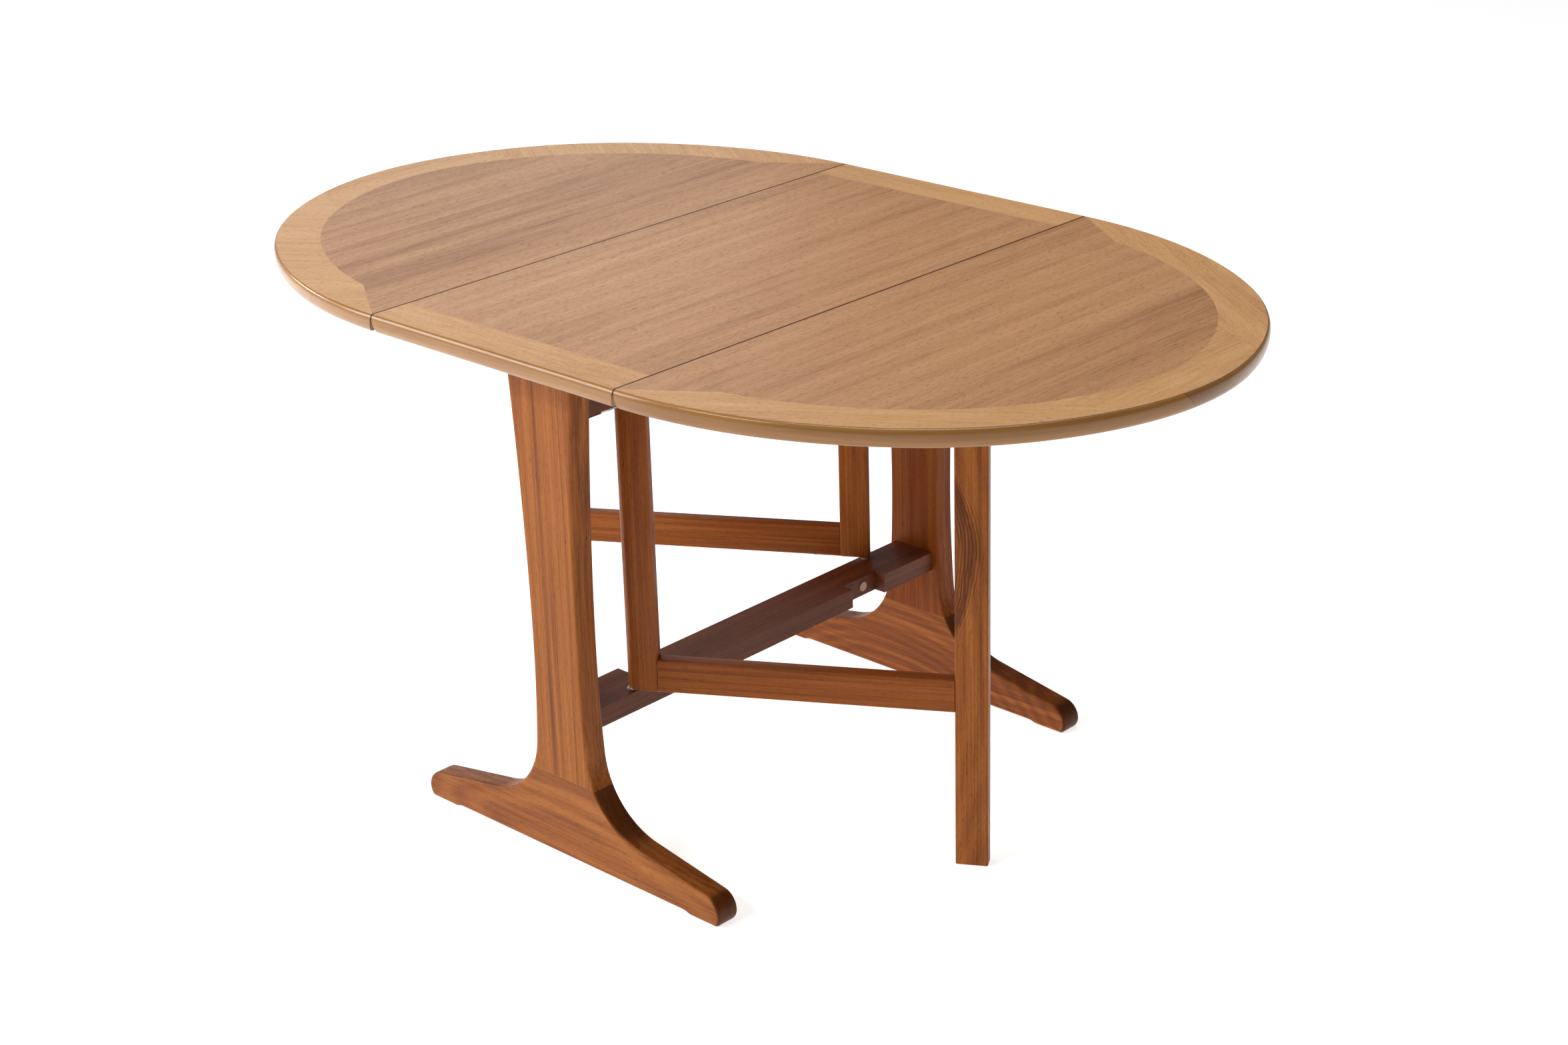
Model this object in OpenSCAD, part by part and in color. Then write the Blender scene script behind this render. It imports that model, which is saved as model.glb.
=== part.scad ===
// Oval drop leaf table on two sculpted trestles.
// Frame: origin on the floor under the middle of the top. +X runs across the
// hinge lines, +Y along them, +Z is up. Everything is drawn open, as for dining:
// both leaves level and both gates swung out under them.

/* [Top] */
// Height of the table top above the floor
table_h = 735; // [700:5:780]
// Thickness of the top
top_t = 24; // [22:1:28]
// Width of the fixed panel, from hinge line to hinge line
panel_w = 441; // [425:1:480]
// Radius of the round at the tip of a leaf
tip_r = 362; // [360:0.5:366]
// How much larger the radius of a leaf's shoulders is
shoulder_more = 78.5; // [76:0.5:80]
// How much larger again the radius of a leaf's sides is
side_more = 140; // [138:0.5:142]
// Gap between the fixed panel and a leaf
joint_gap = 1.2; // [1:0.1:2]
// Width of the crossbanded border
band_w = 60; // [40:1:70]
// Thickness of the face veneers
veneer_t = 0.7; // [0.5:0.1:1]
// How far the lipping bulges past the arris
lip_out = 4; // [2:0.5:6]
// How far the lipping reaches in under the veneer
lip_in = 8; // [6:1:14]

/* [Trestles] */
// Outer faces of the two trestles, from the middle
trestle_y = 371.5; // [365:0.5:385]
// Thickness of a trestle
trestle_t = 35; // [30:1:38]
// Length of a foot
foot_len = 563; // [500:1:600]
// Height of the glue joint between post and foot
post_z = 120; // [115:1:130]
// Half width of a post at its waist
waist = 43.5; // [42:0.5:48]
// Height of the waist
waist_z = 310; // [290:5:330]
// Extra half width of a post at its top
flare = 18; // [10:1:22]

/* [Stretchers] */
// Width of the two long stretchers
rail_w = 70; // [68:1:74]
// Thickness of the two long stretchers
rail_t = 28; // [24:1:32]
// Underside of the lower stretcher
lower_z = 190; // [180:1:200]
// Underside of the upper stretcher
upper_z = 618; // [600:1:625]

/* [Gates] */
// Angle between an open gate and the hinge lines
gate_open = 59; // [55:1:61]
// Length of a gate, from pivot end to outer leg
gate_len = 480; // [475:1:485]
// Thickness of a gate
gate_t = 22; // [20:1:22]
// Width of a gate's upright members
gate_w = 43.5; // [40:0.5:46]
// Height of a gate's rail
gate_rail_h = 46; // [40:1:60]
// Distance of each gate pivot from the middle, across the hinge lines
pivot_x = 26; // [25:0.5:27]
// Distance of each gate pivot from the middle, along the hinge lines
pivot_y = 258; // [256:1:262]
// Diameter of a gate pivot pin
pivot_d = 5; // [4:0.5:6]

/* [Hidden] */
$fn = 64;
// Finer steps for the large curves of the top and the trestles
$fa = 1;
SIDES = [1, -1];
FINE = 360;
EPS = 0.01;
half_panel = (panel_w - joint_gap) / 2;
leaf_x = (panel_w + joint_gap) / 2;
under_z = table_h - top_t;
core_z = table_h - veneer_t;

// Hinge edges lean back by this much at the underside
undercut = 5.5;
undercut_power = 1.5;
edge_steps = 8;
// Solid strips along the hinge edges, which take the hinge screws
edging_w = 40;
// Depth at which the lipping bulges most
lip_depth = 8;

// Each quarter of a leaf is three arcs, tangent where they meet: tip, shoulder, side.
// They meet in directions whose sine and cosine are whole fractions, so that the
// arcs' ends fall exactly on each other.
to_tip = [0.96, 0.28];
to_side = [0.6, 0.8];
shoulder_r = tip_r + shoulder_more;
side_r = shoulder_r + side_more;
shoulder_to_side = side_more * to_side;
tip_to_shoulder = shoulder_more * to_tip;
half_len = side_r - shoulder_to_side.y - tip_to_shoulder.y;
reach = tip_r + shoulder_to_side.x + tip_to_shoulder.x;
top_len = 2 * half_len;
side_c = [leaf_x, half_len - side_r];
shoulder_c = side_c + shoulder_to_side;
tip_c = shoulder_c + tip_to_shoulder;
// Centre, radius, first and last direction of each arc
ARCS = [
    [tip_c, tip_r, [1, 0], to_tip],
    [shoulder_c, shoulder_r, to_tip, to_side],
    [side_c, side_r, to_side, [0, 1]],
];

// A leaf's border narrows to nothing at the hinge corners, along straight mitres
mitre_slope = 0.675;
mitre_u = 140;
mitre_over = 10;
mitre_end = [leaf_x + mitre_u, half_len - mitre_slope * mitre_u];
mitre_start = [leaf_x - mitre_over, half_len + mitre_slope * mitre_over];
// The tip piece of the border ends on two sloping seams
seam_p = [leaf_x + 411, 176];
seam_slope = 0.53;
seam_x0 = leaf_x + 300;
seam_x1 = leaf_x + reach + 20;
function seam_y(x) = seam_p.y - seam_slope * (x - seam_p.x);

// Foot: a straight sloping top and a blunt end of two arcs
foot_half = foot_len / 2;
foot_slope = 10;
foot_n = [sin(foot_slope), cos(foot_slope)];
nose_z = 15;
nose_r = 25.5;
toe_r = 19;
nose_c = [foot_half - nose_r, nose_z];
toe_c = [foot_half - toe_r, nose_z];
toe_a = asin(nose_z / toe_r);
nose_steps = 10;
toe_steps = 6;
fillet_steps = 26;
relief = 3;
pad_in = 226;

// Post: long concave sides that meet the foot in a fillet
fillet_top = 160;
post_steps = 20;
lower_bow = 0.000262;
flare_power = 1.8;
function post_half(z) = z > waist_z
    ? waist + flare * pow((z - waist_z) / (under_z - waist_z), flare_power)
    : waist + lower_bow * pow(waist_z - z, 2);
lean = atan(2 * lower_bow * (waist_z - fillet_top));
lean_n = [cos(lean), sin(lean)];
fillet_p = [post_half(fillet_top), fillet_top];
fillet_r = (fillet_p * foot_n - nose_c * foot_n - nose_r) / (1 - lean_n * foot_n);
fillet_c = fillet_p + fillet_r * lean_n;
function arc_points(c, r, a0, a1, steps) =
    [for (i = [0:steps]) let (a = a0 + (a1 - a0) * i / steps) c + r * [cos(a), sin(a)]];
post_points = [
    for (i = [1:post_steps])
        let (z = fillet_top + (under_z - fillet_top) * i / post_steps)
        [post_half(z), z]
];
// Right side of a trestle, from the floor to the top of the post
trestle_side = concat(
    arc_points(toe_c, toe_r, -toe_a, 0, toe_steps),
    arc_points(nose_c, nose_r, 90 / nose_steps, 90 - foot_slope, nose_steps),
    arc_points(fillet_c, fillet_r, 270 - foot_slope, 180 + lean, fillet_steps),
    post_points);

dowel_d = 10;
trestle_dowel_x = 28;
trestle_dowel_l = 60;
stretcher_l = 2 * (trestle_y - trestle_t);
stretcher_dowel_x = 20;
stretcher_dowel_l = 50;

// Gates, in their own axes: u along the gate from the pivot, v towards its inner face
gate_back = 8;
gate_out = 15;
gate_in = gate_t - gate_out;
gate_v = (gate_in - gate_out) / 2;
strip_t = 2.5;
strip_l = 84;
strip_w = 18;
lower_top = lower_z + rail_t;
washer_d = 13;
washer_t = 3.4;
slack = 0.1;
gate_z = lower_top + washer_t + slack;
stile_top = upper_z - 1.5;
stile_end = gate_w - gate_back;
leg_u = gate_len - gate_back - gate_w;
leg_top = under_z - 0.4;
stile_r = 15;
edge_r = 2.5;
running = 0.08;
pin_in_stile = 30;
pin_in_stretcher = 20;
gate_dowel_d = 8;
gate_dowel_l = 36;
gate_dowel_zs = [23, 37];
gate_screw_l = 16;
strip_screw_us = [20, 48, 66];

// Notches that take the outer legs when the gates are shut
notch_x = 17;
notch_y0 = 163;
notch_y1 = 231;
bumper_d = 14;
bumper_t = 1.6;
bumper_y = 204;

// Cross bearers that tie the fixed panel to the posts
bearer_l = 360;
bearer_w = 40;
bearer_h = 22;
bearer_y = trestle_y - trestle_t - bearer_w / 2;
bearer_screw_xs = [-150, -75, 75, 150];
post_screw_xs = [-30, 30];

// Leaf hinges, their pins level with the underside
hinge_ys = [-285, 20, 285];
knuckle_r = 3;
hinge_pin_d = 2.6;
plate_t = 1.6;
plate_l = 60;
plate_w = 34;
knuckle_l = plate_l / 5;
knuckle_gap = 0.4;
hinge_screw_u = 21;
hinge_screw_ys = [-22, 0, 22];
hinge_screw_l = 15;

screw_d = 3.5;
screw_head = 7;
screw_head_h = 1.75;

golden = "burlywood";
teak = "peru";
border = "tan";
field = "rosybrown";
dark = "saddlebrown";
core = "wheat";
steel = "silver";
nylon = "whitesmoke";

// ---------------------------------------------------------------- helpers

// The table is the same after half a turn, so its left half is its right half turned
module on_side(s)
    rotate([0, 0, s > 0 ? 0 : 180]) children();

module both_sides()
    for (s = SIDES) on_side(s) children();

module both_ends() {
    children();
    mirror([0, 1, 0]) children();
}

module both_x() {
    children();
    mirror([1, 0, 0]) children();
}

// What lies between an arc's two end directions, seen from its centre
module wedge(arc)
    polygon([[0, 0], 2 * arc[1] * arc[2], 2 * arc[1] * (arc[2] + arc[3]), 2 * arc[1] * arc[3]]);

// Countersunk screw with its head flush on z = 0 and its shank up
module screw(length) {
    cylinder(h = screw_head_h, d1 = screw_head, d2 = screw_d);
    translate([0, 0, screw_head_h]) cylinder(h = length - screw_head_h, d = screw_d);
}

// -------------------------------------------------------- edges of the top

// A hinge edge at a depth below the top: how far it has leant back
function leant(depth) = undercut * pow(depth / top_t, undercut_power);

// Solid strip from x0 out to the leaning hinge edge at x1
module hinge_edging(x0, x1, length) {
    s = sign(x1 - x0);
    side = [
        for (i = [0:edge_steps])
            let (depth = veneer_t + (top_t - veneer_t) * i / edge_steps)
            [x1 - s * leant(depth), table_h - depth]
    ];
    rotate([90, 0, 0]) linear_extrude(length, center = true)
        polygon(concat([[x0, under_z], [x0, core_z]], side));
}

// Everything past the leaning hinge edge at x, on the side s
module past_hinge_edge(x, s) {
    side = [
        for (i = [0:edge_steps])
            let (depth = top_t * i / edge_steps)
            [x - s * leant(depth), table_h - depth]
    ];
    far_x = x + s * 40;
    rotate([90, 0, 0]) linear_extrude(top_len + 40, center = true)
        polygon(concat(
            [[far_x, table_h + 5], [x, table_h + 5]], side,
            [[x - s * undercut, under_z - 5], [far_x, under_z - 5]]));
}

// Section of the lipping: x out from the arris, y up
module lip_section() {
    bulge_z = core_z - lip_depth;
    lower_h = bulge_z - under_z;
    lower_w = lip_out + 2.5;
    polygon(concat(
        [[-lip_in, under_z], [-lip_in, core_z]],
        [for (a = [90:-15:0]) [lip_out * cos(a), bulge_z + lip_depth * sin(a)]],
        [for (a = [-15:-15:-90]) [lip_out + lower_w * (cos(a) - 1), bulge_z + lower_h * sin(a)]]));
}

// ------------------------------------------------------------- fixed panel

module centre_board() color(core) difference() {
    translate([edging_w - half_panel, lip_in - half_len, under_z])
        cube([2 * (half_panel - edging_w), 2 * (half_len - lip_in), core_z - under_z]);
    bearer_screws();
}

module centre_hinge_edgings() color(golden) both_sides() difference() {
    hinge_edging(half_panel - edging_w, half_panel, 2 * (half_len - lip_in));
    hinge_screws(-1);
}

module centre_lippings() color(golden) both_sides() difference() {
    translate([-half_panel, 0, 0]) rotate([90, 0, 90]) linear_extrude(2 * half_panel)
        translate([half_len, 0]) lip_section();
    both_x() past_hinge_edge(half_panel, 1);
}

module centre_veneer() color(field)
    translate([-half_panel, band_w - half_len, core_z])
        cube([2 * half_panel, 2 * (half_len - band_w), veneer_t]);

module centre_end_bands() color(border) both_sides()
    translate([-half_panel, half_len - band_w, core_z])
        cube([2 * half_panel, band_w, veneer_t]);

// ------------------------------------------------------------------ leaves

module leaf_plan(inset) {
    polygon([
        side_c, shoulder_c, tip_c,
        [shoulder_c.x, -shoulder_c.y], [side_c.x, -side_c.y],
    ]);
    both_ends() for (arc = ARCS) translate(arc[0]) intersection() {
        circle(arc[1] - inset, $fn = FINE);
        wedge(arc);
    }
}

// What the mitres leave of the middle, run past the hinge edge for a clean cut
module mitre_plan()
    polygon([
        mitre_start, mitre_end,
        [mitre_end.x, -mitre_end.y], [mitre_start.x, -mitre_start.y],
    ]);

module tip_zone()
    polygon([
        [seam_x0, seam_y(seam_x0)], [seam_x1, seam_y(seam_x1)],
        [seam_x1, -seam_y(seam_x1)], [seam_x0, -seam_y(seam_x0)],
    ]);

module leaf_border_plan() difference() {
    leaf_plan(0);
    leaf_plan(band_w);
    mitre_plan();
}

module leaf_field_plan() difference() {
    leaf_plan(0);
    leaf_border_plan();
}

module face_sheet()
    translate([0, 0, core_z]) linear_extrude(veneer_t) children();

module leaf_board() color(core)
    translate([0, 0, under_z]) linear_extrude(core_z - under_z) intersection() {
        leaf_plan(lip_in);
        translate([leaf_x + edging_w, -half_len]) square([reach, top_len]);
    }

module leaf_hinge_edging() color(golden) difference() {
    intersection() {
        hinge_edging(leaf_x + edging_w, leaf_x, top_len);
        translate([0, 0, under_z - 1]) linear_extrude(top_t + 2) intersection() {
            union() {
                leaf_plan(lip_in);
                translate([leaf_x - 20, -half_len + lip_in])
                    square([20 + EPS, top_len - 2 * lip_in]);
            }
            translate([leaf_x - 20, -half_len]) square([reach, top_len]);
        }
    }
    hinge_screws(1);
}

module leaf_lipping() color(golden) difference() {
    both_ends() for (arc = ARCS) translate([arc[0].x, arc[0].y, 0]) intersection() {
        rotate_extrude($fn = FINE) translate([arc[1], 0]) lip_section();
        translate([0, 0, under_z - 1]) linear_extrude(top_t + 2) wedge(arc);
    }
    past_hinge_edge(leaf_x, -1);
}

module leaf_veneer() color(field)
    face_sheet() leaf_field_plan();

module leaf_band_tip() color(border) face_sheet() intersection() {
    leaf_border_plan();
    tip_zone();
}

module leaf_band_far() color(border) face_sheet() intersection() {
    difference() {
        leaf_border_plan();
        tip_zone();
    }
    translate([leaf_x, 0]) square([reach, half_len]);
}

module leaf_band_near()
    mirror([0, 1, 0]) leaf_band_far();

// Block under a leaf that holds its gate at the open position
stop_l = 40;
stop_w = 16;
stop_h = 16;
stop_gap = 0.3;
module leaf_stop() color(dark) at_gate()
    translate([leg_u + 2, -gate_out - stop_gap - stop_w, under_z - stop_h])
        cube([stop_l, stop_w, stop_h]);

// ---------------------------------------------------------------- trestles

module trestle_plan() difference() {
    last = len(trestle_side) - 1;
    polygon(concat(
        trestle_side,
        [for (i = [last:-1:0]) [-trestle_side[i].x, trestle_side[i].y]]));
    translate([-pad_in, -1]) square([2 * pad_in, relief + 1]);
}

module trestle_slice(z0, z1) difference() {
    translate([0, trestle_y, 0]) rotate([90, 0, 0]) linear_extrude(trestle_t)
        intersection() {
            trestle_plan();
            translate([-foot_len, z0]) square([2 * foot_len, z1 - z0]);
        }
    trestle_dowels();
    stretcher_dowels();
    bearer_screws();
}

module post() color(teak)
    trestle_slice(post_z, under_z);

module foot() color(teak)
    trestle_slice(0, post_z);

module trestle_dowels() color(golden)
    both_sides() for (x = [-trestle_dowel_x, trestle_dowel_x])
        translate([x, trestle_y - trestle_t / 2, post_z - trestle_dowel_l / 2])
            cylinder(h = trestle_dowel_l, d = dowel_d);

// -------------------------------------------------------------- stretchers

module pivot_bore(z, h)
    translate([pivot_x, -pivot_y, z]) cylinder(h = h, r = pivot_d / 2 + running);

module stretcher(z) difference() {
    translate([-rail_w / 2, -stretcher_l / 2, z]) cube([rail_w, stretcher_l, rail_t]);
    both_sides() {
        translate([notch_x, notch_y0, z - 1]) cube([rail_w, notch_y1 - notch_y0, rail_t + 2]);
        pivot_bore(z - 1, rail_t + 2);
    }
    stretcher_dowels();
}

module lower_stretcher() color(dark)
    stretcher(lower_z);

module upper_stretcher() color(dark) difference() {
    stretcher(upper_z);
    both_sides() translate([pivot_x - strip_w / 2, -pivot_y - strip_l / 2, upper_z - 1])
        cube([rail_w, strip_l, strip_t + 1]);
    pivot_plate_screws();
}

module stretcher_dowels() color(golden)
    both_sides() for (z = [lower_z, upper_z], x = [-stretcher_dowel_x, stretcher_dowel_x])
        translate([x, trestle_y - trestle_t + 20, z + rail_t / 2]) rotate([90, 0, 0])
            cylinder(h = stretcher_dowel_l, d = dowel_d);

module notch_bumpers() color(nylon)
    both_sides() for (z = [lower_z, upper_z])
        translate([notch_x, bumper_y, z + rail_t / 2]) rotate([0, 90, 0])
            cylinder(h = bumper_t, d = bumper_d);

module pivot_washers() color(nylon) both_sides() difference() {
    translate([pivot_x, -pivot_y, 0]) {
        translate([0, 0, lower_top]) cylinder(h = washer_t, d = washer_d);
        translate([0, 0, stile_top + slack])
            cylinder(h = upper_z - stile_top - slack, d = washer_d);
    }
    pivot_bore(lower_top - 1, upper_z);
}

module pivot_plates() color(steel) difference() {
    both_sides() difference() {
        translate([(pivot_x - strip_w / 2) + 0.5, -pivot_y - strip_l / 2 + 0.5, upper_z])
            cube([strip_w - 1, strip_l - 1, strip_t]);
        pivot_bore(upper_z - 1, strip_t + 2);
    }
    pivot_plate_screws();
}

plate_screw_y = 32;
module pivot_plate_screws() color(steel)
    both_sides() for (y = [-plate_screw_y, plate_screw_y])
        translate([pivot_x, y - pivot_y, upper_z]) screw(16);

// ----------------------------------------------------------------- bearers

module bearer() color(dark) difference() {
    translate([-bearer_l / 2, bearer_y - bearer_w / 2, under_z - bearer_h])
        cube([bearer_l, bearer_w, bearer_h]);
    bearer_screws();
}

module bearer_screws() color(steel) both_sides() {
    for (x = bearer_screw_xs)
        translate([x, bearer_y, under_z - bearer_h]) screw(bearer_h + 14);
    for (x = post_screw_xs)
        translate([x, bearer_y - bearer_w / 2, under_z - bearer_h / 2])
            rotate([-90, 0, 0]) screw(bearer_w + 18);
}

// ------------------------------------------------------------------- gates

module at_gate()
    translate([pivot_x, -pivot_y, 0]) rotate([0, 0, 90 - gate_open]) children();

module eased_bar(u0, u1) {
    us = [u0 + edge_r, u1 - edge_r];
    vs = [edge_r - gate_out, gate_in - edge_r];
    translate([us[0], -gate_out]) square([us[1] - us[0], gate_t]);
    translate([u0, vs[0]]) square([u1 - u0, vs[1] - vs[0]]);
    for (u = us, v = vs) translate([u, v]) circle(edge_r);
}

module stile_section() {
    corner = [stile_r - gate_back, stile_r - gate_out];
    difference() {
        eased_bar(-gate_back, stile_end);
        translate([-gate_back - 1, -gate_out - 1]) square(stile_r + 1);
    }
    intersection() {
        translate(corner) circle(stile_r);
        translate([-gate_back - 1, -gate_out - 1]) square(stile_r + 1);
    }
}

// Rebate under the pivot end of a gate, for the steel strip
module strip_rebate()
    translate([-gate_back - 1, -gate_out - 1, gate_z - 1])
        cube([strip_l + 1, gate_t + 2, strip_t + 1]);

module gate_stile() color(teak) at_gate() difference() {
    translate([0, 0, gate_z]) linear_extrude(stile_top - gate_z) stile_section();
    strip_rebate();
    upper_pin();
    gate_dowels();
    gate_screws();
}

module gate_rail() color(teak) at_gate() difference() {
    translate([stile_end, -gate_out, gate_z])
        cube([leg_u - stile_end, gate_t - 1, gate_rail_h]);
    strip_rebate();
    gate_dowels();
    gate_screws();
}

module gate_leg() color(teak) at_gate() difference() {
    linear_extrude(leg_top) eased_bar(leg_u, leg_u + gate_w);
    gate_dowels();
}

module gate_dowels()
    for (u = [stile_end, leg_u], z = gate_dowel_zs)
        translate([u - gate_dowel_l / 2, gate_v, gate_z + z]) rotate([0, 90, 0])
            cylinder(h = gate_dowel_l, d = gate_dowel_d);

module gate_strip() color(steel) at_gate() difference() {
    translate([0.5 - gate_back, gate_v - strip_w / 2, gate_z])
        cube([strip_l - 1, strip_w, strip_t]);
    lower_pin();
    gate_screws();
}

module gate_screws()
    for (u = strip_screw_us) translate([u, gate_v, gate_z]) screw(gate_screw_l);

// Riveted into the strip, turning in the lower stretcher
module lower_pin()
    translate([0, 0, lower_z + 4]) cylinder(h = gate_z + strip_t - lower_z - 4, d = pivot_d);

// Driven into the stile, turning in the upper stretcher
module upper_pin()
    translate([0, 0, stile_top - pin_in_stile])
        cylinder(h = pin_in_stile + pin_in_stretcher, d = pivot_d);

module gate_pins() color(steel) at_gate() {
    lower_pin();
    upper_pin();
}

// ------------------------------------------------------------- leaf hinges

module at_hinges()
    for (y = hinge_ys) translate([panel_w / 2, y, under_z]) children();

// A hinge plate on the side s of its pin: +1 under the leaf, -1 under the panel
module hinge_plate(s) {
    clear = knuckle_r + knuckle_gap;
    bore_r = hinge_pin_d / 2 + (s > 0 ? running : 0);
    difference() {
        mirror([s > 0 ? 0 : 1, 0, 0]) {
            translate([clear, -plate_l / 2, -plate_t]) cube([plate_w - clear, plate_l, plate_t]);
            for (k = s > 0 ? [-2, 0, 2] : [-1, 1]) translate([0, k * knuckle_l, 0]) {
                rotate([90, 0, 0])
                    cylinder(h = knuckle_l - knuckle_gap, r = knuckle_r, center = true);
                translate([0, (knuckle_gap - knuckle_l) / 2, -plate_t])
                    cube([clear + 1, knuckle_l - knuckle_gap, plate_t]);
            }
        }
        rotate([90, 0, 0]) cylinder(h = plate_l + 2, r = bore_r, center = true);
        plate_screws(s);
    }
}

module plate_screws(s)
    for (y = hinge_screw_ys) translate([s * hinge_screw_u, y, -plate_t]) screw(hinge_screw_l);

module hinge_plates(s) color(steel)
    at_hinges() hinge_plate(s);

module hinge_pins() color(steel)
    at_hinges() rotate([90, 0, 0]) cylinder(h = plate_l - 1, d = hinge_pin_d, center = true);

module hinge_screws(s) color(steel)
    at_hinges() plate_screws(s);

// ------------------------------------------------------------------- build

centre_board();
centre_hinge_edgings();
centre_lippings();
centre_veneer();
centre_end_bands();
leaf_board();  // right_leaf_board
leaf_hinge_edging();  // right_leaf_hinge_edging
leaf_lipping();  // right_leaf_lipping
leaf_veneer();  // right_leaf_veneer
leaf_band_near();  // right_leaf_band_near
leaf_band_tip();  // right_leaf_band_tip
leaf_band_far();  // right_leaf_band_far
leaf_stop();  // right_leaf_stop
on_side(-1) leaf_board();  // left_leaf_board
on_side(-1) leaf_hinge_edging();  // left_leaf_hinge_edging
on_side(-1) leaf_lipping();  // left_leaf_lipping
on_side(-1) leaf_veneer();  // left_leaf_veneer
on_side(-1) leaf_band_far();  // left_leaf_band_near
on_side(-1) leaf_band_tip();  // left_leaf_band_tip
on_side(-1) leaf_band_near();  // left_leaf_band_far
on_side(-1) leaf_stop();  // left_leaf_stop
on_side(-1) post();  // near_post
post();  // far_post
on_side(-1) foot();  // near_foot
foot();  // far_foot
trestle_dowels();
lower_stretcher();
upper_stretcher();
stretcher_dowels();
notch_bumpers();
on_side(-1) bearer();  // near_bearer
bearer();  // far_bearer
bearer_screws();
pivot_washers();
pivot_plates();
pivot_plate_screws();
gate_stile();  // right_gate_stile
gate_rail();  // right_gate_rail
gate_leg();  // right_gate_leg
at_gate() color(golden) gate_dowels();  // right_gate_dowels
gate_strip();  // right_gate_strip
at_gate() color(steel) gate_screws();  // right_gate_screws
gate_pins();  // right_gate_pins
on_side(-1) gate_stile();  // left_gate_stile
on_side(-1) gate_rail();  // left_gate_rail
on_side(-1) gate_leg();  // left_gate_leg
on_side(-1) at_gate() color(golden) gate_dowels();  // left_gate_dowels
on_side(-1) gate_strip();  // left_gate_strip
on_side(-1) at_gate() color(steel) gate_screws();  // left_gate_screws
on_side(-1) gate_pins();  // left_gate_pins
hinge_plates(-1);  // right_hinge_centre_plates
hinge_plates(1);  // right_hinge_leaf_plates
hinge_pins();  // right_hinge_pins
on_side(-1) hinge_plates(-1);  // left_hinge_centre_plates
on_side(-1) hinge_plates(1);  // left_hinge_leaf_plates
on_side(-1) hinge_pins();  // left_hinge_pins
hinge_screws(-1);  // right_panel_screws
hinge_screws(1);  // right_leaf_screws
on_side(-1) hinge_screws(-1);  // left_panel_screws
on_side(-1) hinge_screws(1);  // left_leaf_screws
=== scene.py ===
"""Gate-leg table with two drop leaves: the finished look, built on the shared frame.

The table stands on the floor with its centre at the origin. X runs across the hinge
lines, Y along them and Z up. Everything is in metres. Sizes named here repeat the sizes
of the joinery model, and the left side is the right side turned half round Z.
"""
import logging
import math
from dataclasses import dataclass, field, replace
from enum import Enum
from typing import Callable, Union

import bmesh
import bpy
import numpy as np
from mathutils import Matrix, Vector


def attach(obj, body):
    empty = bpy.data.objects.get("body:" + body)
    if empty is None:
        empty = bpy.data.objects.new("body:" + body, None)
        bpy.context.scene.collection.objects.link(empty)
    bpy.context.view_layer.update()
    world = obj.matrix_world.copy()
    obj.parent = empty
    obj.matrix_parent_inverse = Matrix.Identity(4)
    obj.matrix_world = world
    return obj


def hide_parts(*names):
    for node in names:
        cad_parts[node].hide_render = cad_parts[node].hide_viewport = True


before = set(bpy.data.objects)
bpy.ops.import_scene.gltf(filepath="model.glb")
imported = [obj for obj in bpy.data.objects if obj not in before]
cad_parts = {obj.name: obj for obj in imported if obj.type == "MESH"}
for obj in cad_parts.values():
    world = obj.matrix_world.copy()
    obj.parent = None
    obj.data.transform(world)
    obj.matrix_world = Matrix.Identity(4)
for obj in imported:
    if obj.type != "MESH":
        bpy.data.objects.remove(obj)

LOG = logging.getLogger("table")
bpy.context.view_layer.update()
GRAIN_MAP = "grain_at"
# Range of the normal's X over which the painted shade on faces towards +X comes in.
SIDE_SHADE_NORMAL = (0.08, 0.5)
PORE_STEP = (0.56, 0.72)
# Reach from the hinge line of the painted shade along the gaps.
GAP_SHADE_REACH = (0.0024, 0.0013)
SEAM_Z = 0.723
SWIRL_Z, SWIRL_REACH = 0.44, 1 / 9
SWIRL_EDGE_U, SWIRL_BULGE = 0.4250, 0.026
SWIRL_LINES = 1500.0
HINGE_X = 0.2205
GATE_TURN = math.radians(31.0)
GATE_PIVOT_U = 0.1106

Colour = tuple[float, float, float]
Number = Union[int, float]


class Grain(Enum):
    """Which way the fibres run, as the turn that lays them along the pattern's X."""

    ALONG_X = (0.0, 0.0, 0.0)
    ALONG_Y = (0.0, 0.0, -math.pi / 2)
    ALONG_Z = (0.0, math.pi / 2, 0.0)
    CHORD_RISING = (0.0, 0.0, -math.radians(33.5))
    CHORD_FALLING = (0.0, 0.0, math.radians(33.5))
    GATE_RAIL = (0.0, 0.0, -math.radians(31.0))
    OWN_MAP = ()


class Side(Enum):
    """A side of the table, with the sign that half a turn gives to X and Y."""

    RIGHT = 1
    LEFT = -1

    @property
    def word(self) -> str:
        """The side's name as it starts the names of its nodes."""
        return self.name.lower()


# --------------------------------------------------------------------------- shaders


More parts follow.
